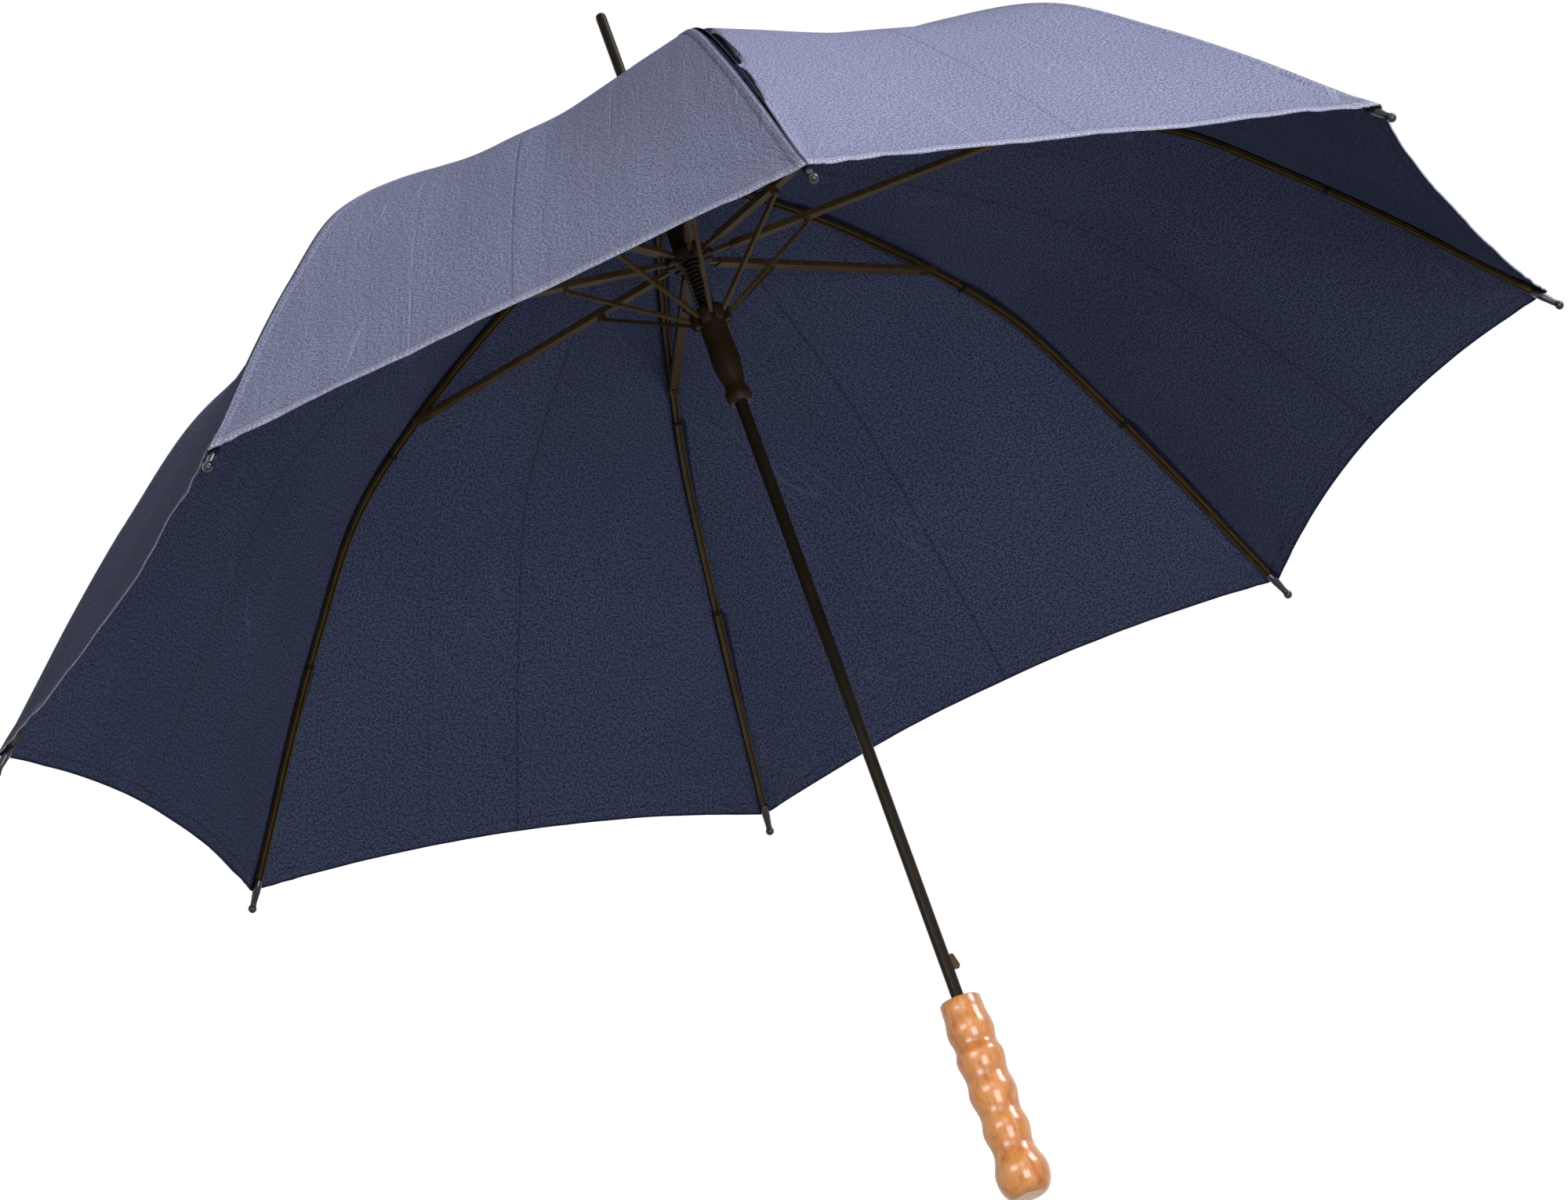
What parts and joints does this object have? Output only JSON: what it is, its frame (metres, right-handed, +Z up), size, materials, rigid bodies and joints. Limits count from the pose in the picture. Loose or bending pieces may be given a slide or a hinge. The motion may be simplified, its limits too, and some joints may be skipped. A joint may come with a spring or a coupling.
{
  "type": "stick umbrella",
  "caption": "Full-length automatic stick umbrella, opened: domed cloth canopy on curved ribs, stretchers and sprung runner on a straight shaft, turned wooden handle.",
  "frame": {"origin": "centre of the flat bottom end of the handle", "axes": "+Z up the shaft to the ferrule; +X through the first rib; +Y through the third rib, the side the release latch is on"},
  "size_m": [1.0434, 1.0434, 0.844],
  "materials": {
    "canopy_cloth": "woven polyester, matt navy with a slight sheen",
    "black_steel": "black-brown enamel, satin",
    "spring_steel": "oiled wire",
    "black_plastic": "moulded, satin",
    "tip_plastic": "moulded, glossy",
    "handle_wood": "turned and varnished, gloss"
  },
  "bodies": {
    "frame": {"shaft": "black_steel", "handle": "handle_wood", "ferrule": "black_steel", "crown_cap": "black_plastic", "top_notch": "black_plastic", "notch_wire": "spring_steel"},
    "latch_tab": {"latch": "black_steel"},
    "collar_slider": {"collar": "black_plastic", "opening_spring": "spring_steel"},
    "runner_slider": {"runner": "black_plastic"},
    "rib_1_arm": {"rib_1": "black_steel", "tip_1": "tip_plastic"},
    "stretcher_1_arm": {"stretcher_1": "black_steel"},
    "link_1_arm": {"link_1": "black_steel"},
    "panel_1_left_cloth": {"panel_1_left": "canopy_cloth"},
    "panel_1_right_cloth": {"panel_1_right": "canopy_cloth"},
    "rib_2_arm": {"rib_2": "black_steel", "tip_2": "tip_plastic"},
    "stretcher_2_arm": {"stretcher_2": "black_steel"},
    "link_2_arm": {"link_2": "black_steel"},
    "panel_2_left_cloth": {"panel_2_left": "canopy_cloth"},
    "panel_2_right_cloth": {"panel_2_right": "canopy_cloth"},
    "rib_3_arm": {"rib_3": "black_steel", "tip_3": "tip_plastic"},
    "stretcher_3_arm": {"stretcher_3": "black_steel"},
    "link_3_arm": {"link_3": "black_steel"},
    "panel_3_left_cloth": {"panel_3_left": "canopy_cloth"},
    "panel_3_right_cloth": {"panel_3_right": "canopy_cloth"},
    "rib_4_arm": {"rib_4": "black_steel", "tip_4": "tip_plastic"},
    "stretcher_4_arm": {"stretcher_4": "black_steel"},
    "link_4_arm": {"link_4": "black_steel"},
    "panel_4_left_cloth": {"panel_4_left": "canopy_cloth"},
    "panel_4_right_cloth": {"panel_4_right": "canopy_cloth"},
    "rib_5_arm": {"rib_5": "black_steel", "tip_5": "tip_plastic"},
    "stretcher_5_arm": {"stretcher_5": "black_steel"},
    "link_5_arm": {"link_5": "black_steel"},
    "panel_5_left_cloth": {"panel_5_left": "canopy_cloth"},
    "panel_5_right_cloth": {"panel_5_right": "canopy_cloth"},
    "rib_6_arm": {"rib_6": "black_steel", "tip_6": "tip_plastic"},
    "stretcher_6_arm": {"stretcher_6": "black_steel"},
    "link_6_arm": {"link_6": "black_steel"},
    "panel_6_left_cloth": {"panel_6_left": "canopy_cloth"},
    "panel_6_right_cloth": {"panel_6_right": "canopy_cloth"},
    "rib_7_arm": {"rib_7": "black_steel", "tip_7": "tip_plastic"},
    "stretcher_7_arm": {"stretcher_7": "black_steel"},
    "link_7_arm": {"link_7": "black_steel"},
    "panel_7_left_cloth": {"panel_7_left": "canopy_cloth"},
    "panel_7_right_cloth": {"panel_7_right": "canopy_cloth"},
    "rib_8_arm": {"rib_8": "black_steel", "tip_8": "tip_plastic"},
    "stretcher_8_arm": {"stretcher_8": "black_steel"},
    "link_8_arm": {"link_8": "black_steel"},
    "panel_8_left_cloth": {"panel_8_left": "canopy_cloth"},
    "panel_8_right_cloth": {"panel_8_right": "canopy_cloth"}
  },
  "joints": [
    {"name": "collar_slide", "type": "slide", "parent": "frame", "child": "collar_slider", "axis": [0, 0, -1], "range_m": [0, 0.4008], "stiffness_N_per_m": 16, "springref_m": -0.4},
    {"name": "runner_slide", "type": "slide", "parent": "collar_slider", "child": "runner_slider", "axis": [0, 0, 1], "range_m": [0, 0.02752], "deforming": ["opening_spring"]},
    {"name": "latch_press", "type": "slide", "parent": "frame", "child": "latch_tab", "axis": [0, -1, 0], "range_m": [0, 0.0036], "stiffness_N_per_m": 400},
    {"name": "rib_1_fold", "type": "hinge", "parent": "frame", "child": "rib_1_arm", "pos_m": [0.01002, 0, 0.721], "axis": [0, 1, 0], "range_deg": [0, 62.33]},
    {"name": "stretcher_1_turn", "type": "hinge", "parent": "rib_1_arm", "child": "stretcher_1_arm", "pos_m": [0.25202, 0, 0.68201], "axis": [0, 1, 0], "range_deg": [-130.18, 0]},
    {"name": "link_1_turn", "type": "hinge", "parent": "stretcher_1_arm", "child": "link_1_arm", "pos_m": [0.08115, 0, 0.66221], "axis": [0, 1, 0], "range_deg": [0, 28.45]},
    {"name": "panel_1_left_fold", "type": "hinge", "parent": "rib_1_arm", "child": "panel_1_left_cloth", "pos_m": [0.01957, 0.45368, 0.90116], "axis": [0.9365, -0.2212, 0.2723], "range_deg": [-19.24, 0], "deforming": ["panel_1_left"]},
    {"name": "panel_1_right_fold", "type": "hinge", "parent": "rib_1_arm", "child": "panel_1_right_cloth", "pos_m": [0.01957, -0.45368, 0.90116], "axis": [0.9365, 0.2212, 0.2723], "range_deg": [0, 19.24], "deforming": ["panel_1_right"]},
    {"name": "rib_2_fold", "type": "hinge", "parent": "frame", "child": "rib_2_arm", "pos_m": [0.00708, 0.00708, 0.721], "axis": [-0.7071, 0.7071, 0], "range_deg": [0, 62.33]},
    {"name": "stretcher_2_turn", "type": "hinge", "parent": "rib_2_arm", "child": "stretcher_2_arm", "pos_m": [0.17821, 0.17821, 0.68201], "axis": [-0.7071, 0.7071, 0], "range_deg": [-130.18, 0]},
    {"name": "link_2_turn", "type": "hinge", "parent": "stretcher_2_arm", "child": "link_2_arm", "pos_m": [0.05738, 0.05738, 0.66221], "axis": [-0.7071, 0.7071, 0], "range_deg": [0, 28.45]},
    {"name": "panel_2_left_fold", "type": "hinge", "parent": "rib_2_arm", "child": "panel_2_left_cloth", "pos_m": [-0.30696, 0.33464, 0.90116], "axis": [0.8186, 0.5058, 0.2723], "range_deg": [-19.24, 0], "deforming": ["panel_2_left"]},
    {"name": "panel_2_right_fold", "type": "hinge", "parent": "rib_2_arm", "child": "panel_2_right_cloth", "pos_m": [0.33464, -0.30696, 0.90116], "axis": [0.5058, 0.8186, 0.2723], "range_deg": [0, 19.24], "deforming": ["panel_2_right"]},
    {"name": "rib_3_fold", "type": "hinge", "parent": "frame", "child": "rib_3_arm", "pos_m": [0, 0.01002, 0.721], "axis": [-1, 0, 0], "range_deg": [0, 62.33]},
    {"name": "stretcher_3_turn", "type": "hinge", "parent": "rib_3_arm", "child": "stretcher_3_arm", "pos_m": [0, 0.25202, 0.68201], "axis": [-1, 0, 0], "range_deg": [-130.18, 0]},
    {"name": "link_3_turn", "type": "hinge", "parent": "stretcher_3_arm", "child": "link_3_arm", "pos_m": [0, 0.08115, 0.66221], "axis": [-1, 0, 0], "range_deg": [0, 28.45]},
    {"name": "panel_3_left_fold", "type": "hinge", "parent": "rib_3_arm", "child": "panel_3_left_cloth", "pos_m": [-0.45368, 0.01957, 0.90116], "axis": [0.2212, 0.9365, 0.2723], "range_deg": [-19.24, 0], "deforming": ["panel_3_left"]},
    {"name": "panel_3_right_fold", "type": "hinge", "parent": "rib_3_arm", "child": "panel_3_right_cloth", "pos_m": [0.45368, 0.01957, 0.90116], "axis": [-0.2212, 0.9365, 0.2723], "range_deg": [0, 19.24], "deforming": ["panel_3_right"]},
    {"name": "rib_4_fold", "type": "hinge", "parent": "frame", "child": "rib_4_arm", "pos_m": [-0.00708, 0.00708, 0.721], "axis": [-0.7071, -0.7071, 0], "range_deg": [0, 62.33]},
    {"name": "stretcher_4_turn", "type": "hinge", "parent": "rib_4_arm", "child": "stretcher_4_arm", "pos_m": [-0.17821, 0.17821, 0.68201], "axis": [-0.7071, -0.7071, 0], "range_deg": [-130.18, 0]},
    {"name": "link_4_turn", "type": "hinge", "parent": "stretcher_4_arm", "child": "link_4_arm", "pos_m": [-0.05738, 0.05738, 0.66221], "axis": [-0.7071, -0.7071, 0], "range_deg": [0, 28.45]},
    {"name": "panel_4_left_fold", "type": "hinge", "parent": "rib_4_arm", "child": "panel_4_left_cloth", "pos_m": [-0.33464, -0.30696, 0.90116], "axis": [-0.5058, 0.8186, 0.2723], "range_deg": [-19.24, 0], "deforming": ["panel_4_left"]},
    {"name": "panel_4_right_fold", "type": "hinge", "parent": "rib_4_arm", "child": "panel_4_right_cloth", "pos_m": [0.30696, 0.33464, 0.90116], "axis": [-0.8186, 0.5058, 0.2723], "range_deg": [0, 19.24], "deforming": ["panel_4_right"]},
    {"name": "rib_5_fold", "type": "hinge", "parent": "frame", "child": "rib_5_arm", "pos_m": [-0.01002, 0, 0.721], "axis": [0, -1, 0], "range_deg": [0, 62.33]},
    {"name": "stretcher_5_turn", "type": "hinge", "parent": "rib_5_arm", "child": "stretcher_5_arm", "pos_m": [-0.25202, 0, 0.68201], "axis": [0, -1, 0], "range_deg": [-130.18, 0]},
    {"name": "link_5_turn", "type": "hinge", "parent": "stretcher_5_arm", "child": "link_5_arm", "pos_m": [-0.08115, 0, 0.66221], "axis": [0, -1, 0], "range_deg": [0, 28.45]},
    {"name": "panel_5_left_fold", "type": "hinge", "parent": "rib_5_arm", "child": "panel_5_left_cloth", "pos_m": [-0.01957, -0.45368, 0.90116], "axis": [-0.9365, 0.2212, 0.2723], "range_deg": [-19.24, 0], "deforming": ["panel_5_left"]},
    {"name": "panel_5_right_fold", "type": "hinge", "parent": "rib_5_arm", "child": "panel_5_right_cloth", "pos_m": [-0.01957, 0.45368, 0.90116], "axis": [-0.9365, -0.2212, 0.2723], "range_deg": [0, 19.24], "deforming": ["panel_5_right"]},
    {"name": "rib_6_fold", "type": "hinge", "parent": "frame", "child": "rib_6_arm", "pos_m": [-0.00708, -0.00708, 0.721], "axis": [0.7071, -0.7071, 0], "range_deg": [0, 62.33]},
    {"name": "stretcher_6_turn", "type": "hinge", "parent": "rib_6_arm", "child": "stretcher_6_arm", "pos_m": [-0.17821, -0.17821, 0.68201], "axis": [0.7071, -0.7071, 0], "range_deg": [-130.18, 0]},
    {"name": "link_6_turn", "type": "hinge", "parent": "stretcher_6_arm", "child": "link_6_arm", "pos_m": [-0.05738, -0.05738, 0.66221], "axis": [0.7071, -0.7071, 0], "range_deg": [0, 28.45]},
    {"name": "panel_6_left_fold", "type": "hinge", "parent": "rib_6_arm", "child": "panel_6_left_cloth", "pos_m": [0.30696, -0.33464, 0.90116], "axis": [-0.8186, -0.5058, 0.2723], "range_deg": [-19.24, 0], "deforming": ["panel_6_left"]},
    {"name": "panel_6_right_fold", "type": "hinge", "parent": "rib_6_arm", "child": "panel_6_right_cloth", "pos_m": [-0.33464, 0.30696, 0.90116], "axis": [-0.5058, -0.8186, 0.2723], "range_deg": [0, 19.24], "deforming": ["panel_6_right"]},
    {"name": "rib_7_fold", "type": "hinge", "parent": "frame", "child": "rib_7_arm", "pos_m": [0, -0.01002, 0.721], "axis": [1, 0, 0], "range_deg": [0, 62.33]},
    {"name": "stretcher_7_turn", "type": "hinge", "parent": "rib_7_arm", "child": "stretcher_7_arm", "pos_m": [0, -0.25202, 0.68201], "axis": [1, 0, 0], "range_deg": [-130.18, 0]},
    {"name": "link_7_turn", "type": "hinge", "parent": "stretcher_7_arm", "child": "link_7_arm", "pos_m": [0, -0.08115, 0.66221], "axis": [1, 0, 0], "range_deg": [0, 28.45]},
    {"name": "panel_7_left_fold", "type": "hinge", "parent": "rib_7_arm", "child": "panel_7_left_cloth", "pos_m": [0.45368, -0.01957, 0.90116], "axis": [-0.2212, -0.9365, 0.2723], "range_deg": [-19.24, 0], "deforming": ["panel_7_left"]},
    {"name": "panel_7_right_fold", "type": "hinge", "parent": "rib_7_arm", "child": "panel_7_right_cloth", "pos_m": [-0.45368, -0.01957, 0.90116], "axis": [0.2212, -0.9365, 0.2723], "range_deg": [0, 19.24], "deforming": ["panel_7_right"]},
    {"name": "rib_8_fold", "type": "hinge", "parent": "frame", "child": "rib_8_arm", "pos_m": [0.00708, -0.00708, 0.721], "axis": [0.7071, 0.7071, 0], "range_deg": [0, 62.33]},
    {"name": "stretcher_8_turn", "type": "hinge", "parent": "rib_8_arm", "child": "stretcher_8_arm", "pos_m": [0.17821, -0.17821, 0.68201], "axis": [0.7071, 0.7071, 0], "range_deg": [-130.18, 0]},
    {"name": "link_8_turn", "type": "hinge", "parent": "stretcher_8_arm", "child": "link_8_arm", "pos_m": [0.05738, -0.05738, 0.66221], "axis": [0.7071, 0.7071, 0], "range_deg": [0, 28.45]},
    {"name": "panel_8_left_fold", "type": "hinge", "parent": "rib_8_arm", "child": "panel_8_left_cloth", "pos_m": [0.33464, 0.30696, 0.90116], "axis": [0.5058, -0.8186, 0.2723], "range_deg": [-19.24, 0], "deforming": ["panel_8_left"]},
    {"name": "panel_8_right_fold", "type": "hinge", "parent": "rib_8_arm", "child": "panel_8_right_cloth", "pos_m": [-0.30696, -0.33464, 0.90116], "axis": [0.8186, -0.5058, 0.2723], "range_deg": [0, 19.24], "deforming": ["panel_8_right"]}
  ],
  "couplings": [
    {"joint": "runner_slide", "follows": "collar_slide", "ratio": 0.068623},
    {"joint": "rib_1_fold", "follows": "collar_slide", "rad_per_m": 2.7139},
    {"joint": "stretcher_1_turn", "follows": "collar_slide", "rad_per_m": -5.6683},
    {"joint": "link_1_turn", "follows": "collar_slide", "rad_per_m": 1.2385},
    {"joint": "panel_1_left_fold", "follows": "collar_slide", "rad_per_m": -0.83736},
    {"joint": "panel_1_right_fold", "follows": "collar_slide", "rad_per_m": 0.83736},
    {"joint": "rib_2_fold", "follows": "collar_slide", "rad_per_m": 2.7139},
    {"joint": "stretcher_2_turn", "follows": "collar_slide", "rad_per_m": -5.6683},
    {"joint": "link_2_turn", "follows": "collar_slide", "rad_per_m": 1.2385},
    {"joint": "panel_2_left_fold", "follows": "collar_slide", "rad_per_m": -0.83736},
    {"joint": "panel_2_right_fold", "follows": "collar_slide", "rad_per_m": 0.83736},
    {"joint": "rib_3_fold", "follows": "collar_slide", "rad_per_m": 2.7139},
    {"joint": "stretcher_3_turn", "follows": "collar_slide", "rad_per_m": -5.6683},
    {"joint": "link_3_turn", "follows": "collar_slide", "rad_per_m": 1.2385},
    {"joint": "panel_3_left_fold", "follows": "collar_slide", "rad_per_m": -0.83736},
    {"joint": "panel_3_right_fold", "follows": "collar_slide", "rad_per_m": 0.83736},
    {"joint": "rib_4_fold", "follows": "collar_slide", "rad_per_m": 2.7139},
    {"joint": "stretcher_4_turn", "follows": "collar_slide", "rad_per_m": -5.6683},
    {"joint": "link_4_turn", "follows": "collar_slide", "rad_per_m": 1.2385},
    {"joint": "panel_4_left_fold", "follows": "collar_slide", "rad_per_m": -0.83736},
    {"joint": "panel_4_right_fold", "follows": "collar_slide", "rad_per_m": 0.83736},
    {"joint": "rib_5_fold", "follows": "collar_slide", "rad_per_m": 2.7139},
    {"joint": "stretcher_5_turn", "follows": "collar_slide", "rad_per_m": -5.6683},
    {"joint": "link_5_turn", "follows": "collar_slide", "rad_per_m": 1.2385},
    {"joint": "panel_5_left_fold", "follows": "collar_slide", "rad_per_m": -0.83736},
    {"joint": "panel_5_right_fold", "follows": "collar_slide", "rad_per_m": 0.83736},
    {"joint": "rib_6_fold", "follows": "collar_slide", "rad_per_m": 2.7139},
    {"joint": "stretcher_6_turn", "follows": "collar_slide", "rad_per_m": -5.6683},
    {"joint": "link_6_turn", "follows": "collar_slide", "rad_per_m": 1.2385},
    {"joint": "panel_6_left_fold", "follows": "collar_slide", "rad_per_m": -0.83736},
    {"joint": "panel_6_right_fold", "follows": "collar_slide", "rad_per_m": 0.83736},
    {"joint": "rib_7_fold", "follows": "collar_slide", "rad_per_m": 2.7139},
    {"joint": "stretcher_7_turn", "follows": "collar_slide", "rad_per_m": -5.6683},
    {"joint": "link_7_turn", "follows": "collar_slide", "rad_per_m": 1.2385},
    {"joint": "panel_7_left_fold", "follows": "collar_slide", "rad_per_m": -0.83736},
    {"joint": "panel_7_right_fold", "follows": "collar_slide", "rad_per_m": 0.83736},
    {"joint": "rib_8_fold", "follows": "collar_slide", "rad_per_m": 2.7139},
    {"joint": "stretcher_8_turn", "follows": "collar_slide", "rad_per_m": -5.6683},
    {"joint": "link_8_turn", "follows": "collar_slide", "rad_per_m": 1.2385},
    {"joint": "panel_8_left_fold", "follows": "collar_slide", "rad_per_m": -0.83736},
    {"joint": "panel_8_right_fold", "follows": "collar_slide", "rad_per_m": 0.83736}
  ]
}
